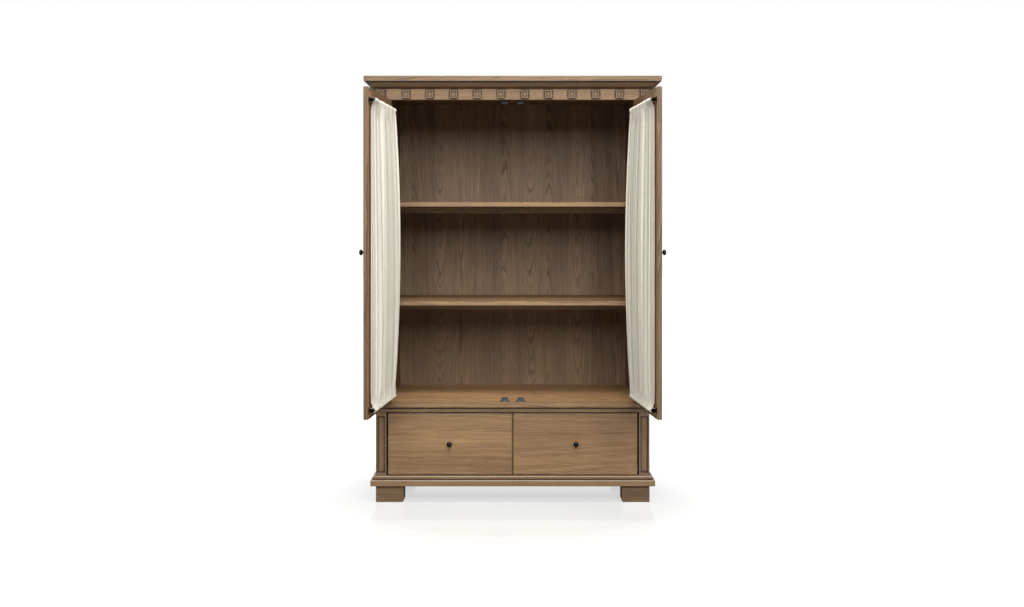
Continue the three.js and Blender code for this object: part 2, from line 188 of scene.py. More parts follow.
# Ash, brown-stained and matt-lacquered: the stain sinks into the open pores, so each year ring starts
# with a dark porous line and ends paler. Edges are painted lighter, partly rubbed wear and partly a painted
# highlight; corners are painted darker by ambient occlusion, a painted shade.
ashLook = {
    "ringMm": 4.2,  # real ash rings are 2 to 4 mm; drawn a little coarse, to show
    "plankMm": 118,  # width of one board or veneer leaf
    "poreMm": 0.8,  # real pores are 0.3 mm across
    "stops": [(0.0, "B18F61"), (0.3, "876846"), (0.62, "5F452B"), (1.0, "27190D")],
    # the colour that edges are painted towards: partly rubbed wear, partly a painted highlight
    "worn": "A79C8B",
    "rubbed": 0.8,
    # the colour that corners and recesses are darkened towards: painted shade, with some stain gathered in
    # corners
    "gathered": "22110A",
    "gatherMm": 10,  # how far the painted shade in corners spreads, together with the stain that gathers there
    "base": -0.22, "ringDepth": 0.4, "fibreDepth": 0.8, "cloudDepth": 0.29, "poreDepth": 0.36,
    "roughness": (0.46, 0.68),
}
drawerWoodLook = dict(
    ashLook, stops=[(0.0, "C9AE86"), (0.3, "B3946B"), (0.62, "957550"), (1.0, "6E5035")], worn="CDB591",
)


def stainedWood(name, look):
    material, tree, shader = newMaterial(name)
    plank = look["plankMm"] * mm
    grain = addNode(tree, "ShaderNodeAttribute", attribute_name="grain").outputs["Vector"]
    board = addNode(tree, "ShaderNodeAttribute", attribute_name="board").outputs["Fac"]
    edge = addNode(tree, "ShaderNodeAttribute", attribute_name="edge").outputs["Fac"]
    tone = addNode(tree, "ShaderNodeAttribute", attribute_name="tone").outputs["Fac"]
    quarter = addNode(tree, "ShaderNodeAttribute", attribute_name="quarter").outputs["Fac"]
    axes = addNode(tree, "ShaderNodeSeparateXYZ", {0: grain})
    leaf = addNode(tree, "ShaderNodeMath", {0: axes.outputs["Y"], 1: plank}, operation="DIVIDE")
    index = addNode(tree, "ShaderNodeMath", {0: leaf}, operation="FLOOR")
    within = addNode(tree, "ShaderNodeMath", {0: leaf, 1: index}, operation="SUBTRACT")
    key = addNode(tree, "ShaderNodeCombineXYZ", {"X": index, "Y": board})
    chance = addNode(tree, "ShaderNodeTexWhiteNoise", {"Vector": key}, noise_dimensions="2D").outputs["Color"]
    luck = addNode(tree, "ShaderNodeSeparateColor", {0: chance})
    place = addNode(
        tree, "ShaderNodeVectorMath", {0: chance, 1: (7, 7, 7), 2: grain}, operation="MULTIPLY_ADD",
    )

    # distance from the heart of the tree, which runs nearly along the board, a little below its face
    heartY = addNode(tree, "ShaderNodeMapRange", {0: luck.outputs["Red"], 3: -0.75 * plank, 4: -0.25 * plank})
    acrossY = addNode(tree, "ShaderNodeMath", {0: within, 1: plank, 2: heartY}, operation="MULTIPLY_ADD")
    acrossY = addNode(tree, "ShaderNodeMath", {0: acrossY, 1: quarter}, operation="ADD")
    depthZ = addNode(tree, "ShaderNodeMapRange", {0: luck.outputs["Green"], 3: 0.008, 4: 0.07})
    slope = addNode(tree, "ShaderNodeMapRange", {0: luck.outputs["Blue"], 3: -0.07, 4: 0.07})
    sloped = addNode(
        tree, "ShaderNodeMath", {0: axes.outputs["X"], 1: slope, 2: depthZ}, operation="MULTIPLY_ADD",
    )
    heartZ = addNode(tree, "ShaderNodeMath", {0: sloped, 1: axes.outputs["Z"]}, operation="ADD")
    section = addNode(tree, "ShaderNodeCombineXYZ", {"Y": acrossY, "Z": heartZ})
    bent = addNode(tree, "ShaderNodeMapping", {"Vector": place, "Scale": (2.2, 10, 10)}, vector_type="POINT")
    bend = addNode(
        tree, "ShaderNodeTexNoise", {"Vector": bent, "Scale": 1.0, "Detail": 3.0, "Roughness": 0.55},
    )
    shift = addNode(
        tree, "ShaderNodeVectorMath",
        {0: bend.outputs["Color"], 1: (0.02, 0.02, 0.02), 2: section}, operation="MULTIPLY_ADD",
    )
    radius = addNode(tree, "ShaderNodeVectorMath", {0: shift}, operation="LENGTH").outputs["Value"]
    rings = addNode(tree, "ShaderNodeMath", {0: radius, 1: look["ringMm"] * mm}, operation="DIVIDE")
    year = addNode(tree, "ShaderNodeMath", {0: rings}, operation="FLOOR")
    phase = addNode(tree, "ShaderNodeMath", {0: rings}, operation="FRACT")
    porous = addNode(tree, "ShaderNodeValToRGB", {0: phase})
    setRamp(porous, [(p, (v, v, v, 1)) for p, v in ((0, 1), (0.2, 0.7), (0.5, 0.15), (0.9, 0), (1, 1))])
    yearKey = addNode(tree, "ShaderNodeMath", {0: year, 1: board}, operation="ADD")
    yearLuck = addNode(
        tree, "ShaderNodeTexWhiteNoise", {"W": yearKey}, noise_dimensions="1D",
    ).outputs["Value"]
    strength = addNode(tree, "ShaderNodeMapRange", {0: yearLuck, 3: 0.15, 4: 1.0})
    band = addNode(tree, "ShaderNodeMath", {0: porous, 1: strength}, operation="MULTIPLY")

    fibreSpace = addNode(tree, "ShaderNodeMapping", {"Vector": place, "Scale": (8, 330, 330)})
    fibre = addNode(
        tree, "ShaderNodeTexNoise", {"Vector": fibreSpace, "Scale": 1.0, "Detail": 4.0, "Roughness": 0.6},
    )
    poreScale = 1 / (look["poreMm"] * mm)
    poreSpace = addNode(
        tree, "ShaderNodeMapping", {"Vector": place, "Scale": (poreScale / 16, poreScale, poreScale)},
    )
    poreNoise = addNode(tree, "ShaderNodeTexNoise", {"Vector": poreSpace, "Scale": 1.0, "Detail": 1.0})
    poreMask = addNode(tree, "ShaderNodeMapRange", {0: poreNoise, 1: 0.54, 2: 0.66})
    poreShare = addNode(tree, "ShaderNodeMapRange", {0: band, 3: 0.25, 4: 1.0})
    pores = addNode(tree, "ShaderNodeMath", {0: poreMask, 1: poreShare}, operation="MULTIPLY")
    cloudSpace = addNode(tree, "ShaderNodeMapping", {"Vector": place, "Scale": (1.6, 11, 11)})
    cloud = addNode(tree, "ShaderNodeTexNoise", {"Vector": cloudSpace, "Scale": 1.0, "Detail": 2.0})

    # all four patterns add up to how dark the stain looks
    dark = addNode(
        tree, "ShaderNodeMath", {0: band, 1: look["ringDepth"], 2: look["base"]}, operation="MULTIPLY_ADD",
    )
    dark = addNode(
        tree, "ShaderNodeMath", {0: fibre, 1: look["fibreDepth"], 2: dark}, operation="MULTIPLY_ADD",
    )
    dark = addNode(
        tree, "ShaderNodeMath", {0: cloud, 1: look["cloudDepth"], 2: dark}, operation="MULTIPLY_ADD",
    )
    dark = addNode(
        tree, "ShaderNodeMath", {0: pores, 1: look["poreDepth"], 2: dark}, operation="MULTIPLY_ADD",
    )
    leafTone = addNode(tree, "ShaderNodeMapRange", {0: luck.outputs["Red"], 3: -0.07, 4: 0.07})
    dark = addNode(tree, "ShaderNodeMath", {0: dark, 1: leafTone}, operation="ADD")
    stain = addNode(tree, "ShaderNodeValToRGB", {0: dark})
    setRamp(stain, [(place, hexToLinear(code)) for place, code in look["stops"]])
    toned = addNode(tree, "ShaderNodeVectorMath", {0: stain, "Scale": tone}, operation="SCALE")
    # bevelled edges are painted lighter: rubbed wear and a painted highlight
    edgeWearAndHighlight = addNode(tree, "ShaderNodeMapRange", {0: edge, 4: look["rubbed"]})
    # ambient occlusion darkens corners, recesses and the joints round raised parts: painted shade, with some
    # gathered stain
    corner = addNode(
        tree, "ShaderNodeAmbientOcclusion", {"Distance": look["gatherMm"] * mm}, samples=6, only_local=True,
    )
    worn = addNode(
        tree, "ShaderNodeMix", {"Factor": edgeWearAndHighlight, "A": toned, "B": hexToLinear(look["worn"])}, data_type="RGBA",
    )
    gathered = addNode(tree, "ShaderNodeMapRange", {0: corner.outputs["AO"], 1: 0.97, 2: 0.68, 4: 0.97})
    worn = addNode(
        tree, "ShaderNodeMix",
        {"Factor": gathered, "A": worn.outputs["Result"], "B": hexToLinear(look["gathered"])},
        data_type="RGBA",
    )
    link(tree, worn.outputs["Result"], shader.inputs["Base Color"])
    low, high = look["roughness"]
    rough = addNode(tree, "ShaderNodeMapRange", {0: dark, 3: low, 4: high})
    rough = addNode(tree, "ShaderNodeMath", {0: gathered, 1: 0.4, 2: rough}, operation="MULTIPLY_ADD")
    link(tree, rough, shader.inputs["Roughness"])
    height = addNode(tree, "ShaderNodeMath", {0: pores, 1: -1.0}, operation="MULTIPLY")
    height = addNode(tree, "ShaderNodeMath", {0: band, 1: -0.4, 2: height}, operation="MULTIPLY_ADD")
    height = addNode(tree, "ShaderNodeMath", {0: fibre, 1: 0.5, 2: height}, operation="MULTIPLY_ADD")
    bump = addNode(tree, "ShaderNodeBump", {"Height": height, "Distance": 0.3 * mm, "Strength": 0.5})
    link(tree, bump, shader.inputs["Normal"])
    return material


# Linen and cotton cloth, plain weave: slubby threads and a soft dry sheen.
clothLook = {"threadMm": 1.1, "warp": "E2DDCE", "weft": "D7D2C2", "shade": "ABA594", "roughness": 0.92}


def linenCloth(name, look):
    material, tree, shader = newMaterial(name)
    flat = addNode(tree, "ShaderNodeUVMap", uv_map="flat")
    space = addNode(
        tree, "ShaderNodeMapping", {"Vector": flat, "Scale": [math.pi / (look["threadMm"] * mm)] * 3},
    )
    axes = addNode(tree, "ShaderNodeSeparateXYZ", {0: space})
    warp = addNode(tree, "ShaderNodeMath", {0: axes.outputs["X"]}, operation="SINE")
    weft = addNode(tree, "ShaderNodeMath", {0: axes.outputs["Y"]}, operation="SINE")
    weave = addNode(tree, "ShaderNodeMath", {0: warp, 1: weft}, operation="MULTIPLY")
    over = addNode(tree, "ShaderNodeMapRange", {0: weave, 1: -0.6, 2: 0.6})
    slubSpace = addNode(tree, "ShaderNodeMapping", {"Vector": flat, "Scale": (12, 700, 1)})
    slub = addNode(tree, "ShaderNodeTexNoise", {"Vector": slubSpace, "Scale": 1.0, "Detail": 2.0})
    slubUp = addNode(tree, "ShaderNodeMapping", {"Vector": flat, "Scale": (500, 9, 1)})
    slubAlong = addNode(tree, "ShaderNodeTexNoise", {"Vector": slubUp, "Scale": 1.0, "Detail": 2.0})
    slubs = addNode(tree, "ShaderNodeMath", {0: slub, 1: slubAlong}, operation="MULTIPLY")
    slubMask = addNode(tree, "ShaderNodeMapRange", {0: slubs, 1: 0.2, 2: 0.36})
    threads = addNode(
        tree, "ShaderNodeMix",
        {"Factor": over, "A": hexToLinear(look["warp"]), "B": hexToLinear(look["weft"])}, data_type="RGBA",
    )
    half = addNode(tree, "ShaderNodeMath", {0: slubMask, 1: 0.35}, operation="MULTIPLY")
    colour = addNode(
        tree, "ShaderNodeMix",
        {"Factor": half, "A": threads.outputs["Result"], "B": hexToLinear(look["shade"])}, data_type="RGBA",
    )
    link(tree, colour.outputs["Result"], shader.inputs["Base Color"])
    shader.inputs["Roughness"].default_value = look["roughness"]
    shader.inputs["Sheen Weight"].default_value = 0.15
    shader.inputs["Sheen Roughness"].default_value = 0.5
    height = addNode(tree, "ShaderNodeMath", {0: slubMask, 1: 0.6, 2: over}, operation="MULTIPLY_ADD")
    bump = addNode(tree, "ShaderNodeBump", {"Height": height, "Distance": 0.15 * mm, "Strength": 0.5})
    link(tree, bump, shader.inputs["Normal"])
    return material


# Cast and blackened iron: nearly black, waxed, with a few rubbed places. Its pits are 2 mm apart.
ironLook = {"dark": "1C1A18", "rubbed": "4A443D", "pitMm": 2.0, "metallic": 0.85, "roughness": (0.22, 0.45)}
# Drawn wire, dipped dark bronze.
wireLook = {"dark": "4C4034", "rubbed": "7A6A55", "pitMm": 4.0, "metallic": 0.9, "roughness": (0.35, 0.55)}
# Zinc-plated pressed steel: cold grey with a faint spangle.
zincLook = {"dark": "8B8E90", "rubbed": "B4B6B7", "pitMm": 3.0, "metallic": 0.95, "roughness": (0.3, 0.5)}


def agedMetal(name, look):
    material, tree, shader = newMaterial(name)
    place = addNode(tree, "ShaderNodeTexCoord").outputs["Object"]
    pits = addNode(
        tree, "ShaderNodeTexNoise", {"Vector": place, "Scale": 1 / (look["pitMm"] * mm), "Detail": 4.0},
    )
    patches = addNode(tree, "ShaderNodeTexNoise", {"Vector": place, "Scale": 45.0, "Detail": 3.0})
    rubbed = addNode(tree, "ShaderNodeMapRange", {0: patches, 1: 0.52, 2: 0.75})
    colour = addNode(
        tree, "ShaderNodeMix",
        {"Factor": rubbed, "A": hexToLinear(look["dark"]), "B": hexToLinear(look["rubbed"])},
        data_type="RGBA",
    )
    link(tree, colour.outputs["Result"], shader.inputs["Base Color"])
    low, high = look["roughness"]
    link(tree, addNode(tree, "ShaderNodeMapRange", {0: pits, 3: low, 4: high}), shader.inputs["Roughness"])
    shader.inputs["Metallic"].default_value = look["metallic"]
    bump = addNode(tree, "ShaderNodeBump", {"Height": pits, "Distance": 0.1 * mm, "Strength": 0.35})
    link(tree, bump, shader.inputs["Normal"])
    return material


# Injection-moulded ABS, mid grey with the fine spark-eroded texture of the mould.
plasticLook = {"colour": "3C4043", "grainMm": 0.6, "roughness": (0.42, 0.55)}


def mouldedPlastic(name, look):
    material, tree, shader = newMaterial(name)
    place = addNode(tree, "ShaderNodeTexCoord").outputs["Object"]
    spark = addNode(
        tree, "ShaderNodeTexNoise", {"Vector": place, "Scale": 1 / (look["grainMm"] * mm), "Detail": 2.0},
    )
    colour = addNode(tree, "ShaderNodeMapRange", {0: spark, 3: 0.92, 4: 1.04})
    tint = addNode(
        tree, "ShaderNodeVectorMath",
        {0: hexToLinear(look["colour"])[:3], "Scale": colour}, operation="SCALE",
    )
    link(tree, tint, shader.inputs["Base Color"])
    low, high = look["roughness"]
    link(tree, addNode(tree, "ShaderNodeMapRange", {0: spark, 3: low, 4: high}), shader.inputs["Roughness"])
    bump = addNode(tree, "ShaderNodeBump", {"Height": spark, "Distance": 0.05 * mm, "Strength": 0.4})
    link(tree, bump, shader.inputs["Normal"])
    return material


ash = stainedWood("stainedAsh", ashLook)
drawerWood = stainedWood("drawerWood", drawerWoodLook)
linen = linenCloth("linenCloth", clothLook)
iron = agedMetal("blackIron", ironLook)
wire = agedMetal("bronzedWire", wireLook)
zinc = agedMetal("zincPlate", zincLook)
plastic = mouldedPlastic("greyPlastic", plasticLook)
# a near-black copy of the catch plastic: painted shade for the catches in the head board's shadow
darkPlastic = mouldedPlastic("darkPlastic", dict(plasticLook, colour="131415", roughness=(0.6, 0.75)))
print("materials made")

# Wooden pieces. Each carries its own grain direction, so that one wood material suits them all.


def setGrain(piece, along, across, tone, quarter=0.0):
    mesh = piece.data
    luck = random.Random(piece.name)
    depth = along.cross(across)
    middle = sum((v.co for v in mesh.vertices), Vector()) / len(mesh.vertices)
    slide = luck.uniform(-0.5, 0.5)
    plank = ashLook["plankMm"] * mm
    grain = mesh.attributes.new("grain", "FLOAT_VECTOR", "POINT")
    values = []
    for vertex in mesh.vertices:
        offset = vertex.co - middle
        values += [offset.dot(along) + slide, offset.dot(across) + plank / 2, offset.dot(depth)]
    grain.data.foreach_set("vector", values)
    for name, value in (("board", luck.uniform(0, 50)), ("tone", tone), ("quarter", quarter)):
        layer = mesh.attributes.new(name, "FLOAT", "POINT")
        layer.data.foreach_set("value", [value] * len(mesh.vertices))


def easedBoard(node, body, along, across, tone=1.0, ease=1.2, quarter=0.0, material=ash, slot="stained_ash"):
    bm = bmesh.new()
    bm.from_mesh(nodes[node].data)
    bmesh.ops.remove_doubles(bm, verts=bm.verts, dist=0.01 * mm)
    bmesh.ops.dissolve_limit(bm, angle_limit=math.radians(1), verts=bm.verts, edges=bm.edges)
    edge = bm.faces.layers.float.new("edge")
    corners = [
        e for e in bm.edges if len(e.link_faces) == 2 and e.calc_face_angle_signed() > math.radians(40)
    ]
    made = bmesh.ops.bevel(bm, geom=corners, offset=ease * mm, segments=2, affect="EDGES", clamp_overlap=True)
    # the eased edges are marked to be painted lighter: rubbed wear and a painted highlight
    for face in made["faces"]:
        face[edge] = 1
    piece = toObject(camel(node), bm, material)
    setGrain(piece, along, across, tone, quarter)
    return finishPiece(piece, body, slot, node)


# each piece's tone is set to how light it looks under the lamps, so besides the wood's own tone it holds
# painted light and shade: the deck painted lit, the feet painted shaded
carcaseBoards = {  # along the grain, across it, tone, how far the heart of the tree lies to one side
    "cap_board": ("x", "y", 0.84, 0.1),
    "frieze_rail": ("x", "z", 1.0, 0.2),
    "head_board": ("x", "y", 0.9, 0.0),
    "back_panel": ("z", "x", 0.79, 0.03),
    "side_panel_*": ("z", "y", 1.0, 0.0),  # a star stands for left and right
    "upper_pilaster_*": ("z", "x", 1.0, 0.2),
    "lower_pilaster_*": ("z", "x", 0.85, 0.2),
    "shelf_upper": ("x", "y", 1.05, 0.1),
    "shelf_lower": ("x", "y", 1.08, 0.1),
    "shelf_bearer_upper": ("x", "z", 1.1, 0.2),
    "shelf_bearer_lower": ("x", "z", 1.1, 0.2),
    "deck_board": ("x", "y", 1.6, 0.0),
    "waist_rail": ("x", "z", 0.68, 0.2),
    "drawer_divider": ("y", "z", 0.95, 0.2),
    "bottom_board": ("x", "y", 0.95, 0.0),
    "foot_front_*": ("x", "z", 0.76, 0.1),
    "foot_back_*": ("x", "z", 0.76, 0.1),
}
for board, (along, across, tone, quarter) in carcaseBoards.items():
    for node in [board.replace("*", suffix) for suffix in sides] if "*" in board else [board]:
        easedBoard(node, "carcase", axisOf[along], axisOf[across], tone, quarter=quarter)

nosingTone = 1.05  # the deck's top is painted lighter than its front edge: a painted pool of light from above
deck = bpy.data.objects["deckBoard"].data
nosing = min(v.co.y for v in deck.vertices) + 0.6 * mm
for vertex, value in zip(deck.vertices, deck.attributes["tone"].data):
    if vertex.co.y < nosing:
        value.value = nosingTone

for suffix in sides:
    easedBoard(
        f"drawer_front_{suffix}", f"drawer_{suffix}", axisOf["x"], axisOf["z"], 1.1,
        ease=1.5, quarter=0.09,
    )
    easedBoard(
        f"drawer_box_{suffix}", f"drawer_{suffix}", axisOf["y"], axisOf["z"], 1.0,
        material=drawerWood, slot="drawer_wood",
    )

# the two leading stiles are painted at different tones, the right one darker, and their inner face is painted
# twice as light: painted shade and a painted highlight
stileLightAndShade = {"hinge": 0.95, "left": 0.74, "right": 0.62, "innerFace": 2.0}
for door in doors:
    suffix = door["suffix"]
    for node, tone in (("hinge_stile", stileLightAndShade["hinge"]), ("lead_stile", stileLightAndShade[suffix])):
        easedBoard(f"{node}_{suffix}", door["body"], axisOf["z"], door["along"], tone, quarter=0.2)
    stile = bpy.data.objects[camel(f"lead_stile_{suffix}")].data
    innerFace = max(v.co.dot(door["inward"]) for v in stile.vertices) - 0.6 * mm
    for vertex, value in zip(stile.vertices, stile.attributes["tone"].data):
        if vertex.co.dot(door["inward"]) > innerFace:
            value.value = stileLightAndShade["innerFace"]
    for node in ("top_rail", "bottom_rail"):
        easedBoard(f"{node}_{suffix}", door["body"], door["along"], axisOf["z"], 0.95, quarter=0.2)
print("boards made")

# Mouldings: three mitred lengths each, round the front and both sides.

crownLook = {"fillet": 3, "steps": 20}
baseLook = {"upperReach": 10, "lowerReach": 24, "stepShare": 0.61, "round": 4, "steps": 6}


def mitredRun(bm, first, last):
    # a closed prism between two sections with the same number of points
    rings = [[bm.verts.new(p) for p in section] for section in (first, last)]
    count = len(first)
    made = [bm.faces.new((rings[0][i], rings[0][(i + 1) % count], rings[1][(i + 1) % count], rings[1][i]))
            for i in range(count)]
    made += [bm.faces.new(rings[0]), bm.faces.new(list(reversed(rings[1])))]
    bmesh.ops.recalc_face_normals(bm, faces=made)
    bm.normal_update()


def wrappedMoulding(node, profile, coreFront, tone, worn=False):
    # profile: (reach beyond the body's faces, height), from the bottom up
    low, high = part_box(node)
    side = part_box("side_panel_right")[1].x
    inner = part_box("side_panel_right")[0].x
    back = high.y
    gap = 0.15 * mm
    runs = []
    for turned in (-1, 1):
        rear = [Vector((turned * (side + r), back, z)) for r, z in profile]
        corner = [Vector((turned * (side + r), frontPlane - r + gap, z)) for r, z in profile]
        closeRear = [Vector((turned * inner, back, z)) for z in (profile[-1][1], profile[0][1])]
        closeCorner = [Vector((turned * inner, coreFront + gap, z)) for z in (profile[-1][1], profile[0][1])]
        runs.append(("y", rear + closeRear, corner + closeCorner))
    ends = []
    for turned in (-1, 1):
        outer = [Vector((turned * (side + r - gap), frontPlane - r, z)) for r, z in profile]
        close = [Vector((turned * (inner - gap), coreFront, z)) for z in (profile[-1][1], profile[0][1])]
        ends.append(outer + close)
    runs.append(("x", ends[0], ends[1]))
    pieces = []
    for number, (along, first, last) in enumerate(runs):
        bm = bmesh.new()
        mitredRun(bm, first, last)
        edge = bm.faces.layers.float.new("edge")
        for face in bm.faces:
            # the moulding's upward-sloping faces are painted lighter: a painted highlight where light from
            # above falls
            face[edge] = 1 if worn and 0.25 < face.normal.z < 0.97 else 0
        piece = toObject(camel(node) + ("Left", "Right", "Front")[number], bm, ash, smoothAngle=40)
        setGrain(piece, axisOf[along], axisOf["z"], tone, 0.2)
        pieces.append(piece)
    for piece in pieces[:2]:
        finishPiece(piece, "carcase", "stained_ash")
    finishPiece(pieces[2], "carcase", "stained_ash", node)


def crownProfile():
    low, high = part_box("crown_moulding")
    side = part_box("side_panel_right")[1].x
    reach = high.x - side
    fillet = crownLook["fillet"] * mm
    profile = [(fillet, low.z), (fillet, low.z + fillet)]
    base = low.z + fillet + mm
    for i in range(crownLook["steps"] + 1):
        angle = i / crownLook["steps"] * math.pi / 2
        rise = (high.z - base) * (1 - math.cos(angle))
        profile.append((fillet + mm + (reach - fillet - mm) * math.sin(angle), base + rise))
    return profile


def baseProfile():
    low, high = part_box("base_moulding")
    step = low.z + (high.z - low.z) * baseLook["stepShare"]
    lower, upper = baseLook["lowerReach"] * mm, baseLook["upperReach"] * mm
    curve = baseLook["round"] * mm
    profile = [(lower - 1.5 * mm, low.z), (lower, low.z + 1.5 * mm)]
    for reach, top in ((lower, step), (upper, high.z)):
        for i in range(baseLook["steps"] + 1):
            angle = i / baseLook["steps"] * math.pi / 2
            profile.append((reach - curve * (1 - math.cos(angle)), top - curve * (1 - math.sin(angle))))
        if top == step:
            profile.append((upper + 0.5 * mm, step + 0.2 * mm))
    return profile


# the crown is toned darker: painted shade under the cap's overhang
wrappedMoulding("crown_moulding", crownProfile(), frontPlane + 35 * mm, 0.75)
wrappedMoulding("base_moulding", baseProfile(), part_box("bottom_board")[0].y - 0.3 * mm, 0.95, worn=True)
print("mouldings made")

# Turned knobs.

knobLook = {
    # radius and height of each point
    "foot": [(0, 0), (9, 0), (9, 1.1), (8.6, 1.5), (5.6, 2.4), (4.4, 4), (4.2, 6), (4.7, 8.6)],
    "head": 12.5, "middle": 15.5, "rise": 8.5, "steps": 14, "around": 40,
}


def turnedKnob(node, body, foot, outward):
    # foot is the middle of the knob's foot on the wood; outward is the way the knob points
    outline = list(knobLook["foot"])
    for i in range(knobLook["steps"] + 1):
        angle = math.radians(-50 + 140 * i / knobLook["steps"])
        height = knobLook["middle"] + knobLook["rise"] * math.sin(angle)
        outline.append((knobLook["head"] * math.cos(angle), height))
    outline[-1] = (0, outline[-1][1])
    bm = bmesh.new()
    line = [bm.verts.new((r * mm, 0, h * mm)) for r, h in outline]
    spun = [bm.edges.new(pair) for pair in zip(line, line[1:])]
    bmesh.ops.spin(
        bm, geom=line + spun, cent=(0, 0, 0), axis=(0, 0, 1), dvec=(0, 0, 0),
        angle=2 * math.pi, steps=knobLook["around"], use_merge=True,
    )
    bmesh.ops.remove_doubles(bm, verts=bm.verts, dist=0.005 * mm)
    bmesh.ops.recalc_face_normals(bm, faces=bm.faces)
    turn = Vector((0, 0, 1)).rotation_difference(outward).to_matrix().to_4x4()
    bm.transform(Matrix.Translation(foot) @ turn)
    piece = toObject(camel(node), bm, iron, smoothAngle=45)
    return finishPiece(piece, body, "black_iron", node)


for suffix in sides:
    low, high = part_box(f"drawer_knob_{suffix}")
    middle = (low + high) / 2
    turnedKnob(
        f"drawer_knob_{suffix}", f"drawer_{suffix}", Vector((middle.x, high.y, middle.z)), Vector((0, -1, 0)),
    )
for door in doors:
    low, high = doorBox(door, f"door_knob_{door['suffix']}")
    foot = fromDoor(door, (low[0] + high[0]) / 2, high[1], (low[2] + high[2]) / 2)
    turnedKnob(f"door_knob_{door['suffix']}", door["body"], foot, -door["inward"])
print("knobs turned")

# Smooth copies of the small metal and plastic pieces.


def smoothCopy(node, body, material, slot, ease=0.0):
    bm = bmesh.new()
    bm.from_mesh(nodes[node].data)
    bmesh.ops.remove_doubles(bm, verts=bm.verts, dist=0.01 * mm)
    bmesh.ops.dissolve_limit(bm, angle_limit=math.radians(1), verts=bm.verts, edges=bm.edges)
    if ease:
        corners = [e for e in bm.edges if len(e.link_faces) == 2 and e.calc_face_angle() > math.radians(50)]
        bmesh.ops.bevel(bm, geom=corners, offset=ease * mm, segments=2, affect="EDGES", clamp_overlap=True)
    piece = toObject(camel(node), bm, material, smoothAngle=35)
    return finishPiece(piece, body, slot, node)


for suffix in sides:
    for place in ("lower", "upper"):
        smoothCopy(f"frame_leaf_{place}_{suffix}", "carcase", iron, "black_iron")
        smoothCopy(f"door_leaf_{place}_{suffix}", f"door_{suffix}", iron, "black_iron")
    for place in ("deck", "head"):
        # the head catches get the near-black copy: painted shade
        finish = plastic if place == "deck" else darkPlastic
        smoothCopy(f"catch_{place}_{suffix}", "carcase", finish, "catch_plastic", ease=0.5)
    for place in ("top", "bottom"):
        smoothCopy(f"rod_{place}_{suffix}", f"door_{suffix}", iron, "black_iron", ease=0.4)
print("hardware made")

# Screws, placed by Geometry Nodes on points that carry the way each one faces.

screwLook = {"radius": 3.2, "dome": 0.9, "slotWidth": 0.9, "slotDepth": 0.5}


def screwHead(look):
    # a low domed head, its slot cut by lowering a band across the middle
    bm = bmesh.new()
    rings = [(1.0, 0.0), (0.96, 0.45), (0.8, 0.75), (0.5, 0.93)]
    around = 18
    made = [
        [bm.verts.new((r * look["radius"] * mm * math.cos(2 * math.pi * i / around),
                       r * look["radius"] * mm * math.sin(2 * math.pi * i / around), h * look["dome"] * mm))
         for i in range(around)] for r, h in rings
    ]
    for lower, upper in zip(made, made[1:]):
        for i in range(around):
            j = (i + 1) % around
            bm.faces.new((lower[i], lower[j], upper[j], upper[i]))
    bm.faces.new(made[-1])
    half = look["slotWidth"] / 2 * mm
    for side in (-1, 1):
        for offset in (half, half * 1.25):
            geometry = list(bm.verts) + list(bm.edges) + list(bm.faces)
            bmesh.ops.bisect_plane(bm, geom=geometry, plane_co=(0, side * offset, 0), plane_no=(0, 1, 0))
    for vertex in bm.verts:
        if abs(vertex.co.y) < half * 1.1 and vertex.co.z > 0.3 * look["dome"] * mm:
            vertex.co.z -= look["slotDepth"] * mm
    mesh = bpy.data.meshes.new("screwHead")
    bm.to_mesh(mesh)
    bm.free()
    return bpy.data.objects.new("screwHead", mesh)


def screwTree():
    tree = bpy.data.node_groups.new("screws", "GeometryNodeTree")
    tree.interface.new_socket("Geometry", in_out="OUTPUT", socket_type="NodeSocketGeometry")
    tree.interface.new_socket("Geometry", in_out="INPUT", socket_type="NodeSocketGeometry")
    tree.interface.new_socket("Head", in_out="INPUT", socket_type="NodeSocketObject")
    tree.interface.new_socket("Material", in_out="INPUT", socket_type="NodeSocketMaterial")
    tree.interface.new_socket("Seed", in_out="INPUT", socket_type="NodeSocketInt")
    given = addNode(tree, "NodeGroupInput").outputs
    head = addNode(tree, "GeometryNodeObjectInfo", {"Object": given["Head"]}).outputs["Geometry"]
    facing = addNode(tree, "GeometryNodeInputNamedAttribute", {"Name": "facing"}, data_type="FLOAT_VECTOR")
    aligned = addNode(tree, "FunctionNodeAlignRotationToVector", {"Vector": facing}, axis="Z")
    turn = addNode(
        tree, "FunctionNodeRandomValue", {"Min": 0.0, "Max": 3.14, "Seed": given["Seed"]}, data_type="FLOAT",
    )
    spin = addNode(tree, "ShaderNodeCombineXYZ", {"Z": turn.outputs["Value"]})
    turned = addNode(
        tree, "FunctionNodeRotateRotation", {"Rotation": aligned, "Rotate By": spin}, rotation_space="LOCAL",
    )
    placed = addNode(
        tree, "GeometryNodeInstanceOnPoints",
        {"Points": given["Geometry"], "Instance": head, "Rotation": turned},
    )
    plain = addNode(tree, "GeometryNodeRealizeInstances", {"Geometry": placed})
    coloured = addNode(tree, "GeometryNodeSetMaterial", {"Geometry": plain, "Material": given["Material"]})
    addNode(tree, "NodeGroupOutput", {"Geometry": coloured})
    return tree


def addScrews(name, body, slot, material, places):
    # places: (position, facing) of each screw
    mesh = bpy.data.meshes.new(name)
    mesh.from_pydata([tuple(place) for place, facing in places], [], [])
    facings = mesh.attributes.new("facing", "FLOAT_VECTOR", "POINT")
    facings.data.foreach_set("vector", [c for place, facing in places for c in facing])
    values = {"Head": screwShape, "Material": material, "Seed": len(name)}
    piece = growFromNodes(name, screws, values, start=mesh)
    return finishPiece(piece, body, slot)


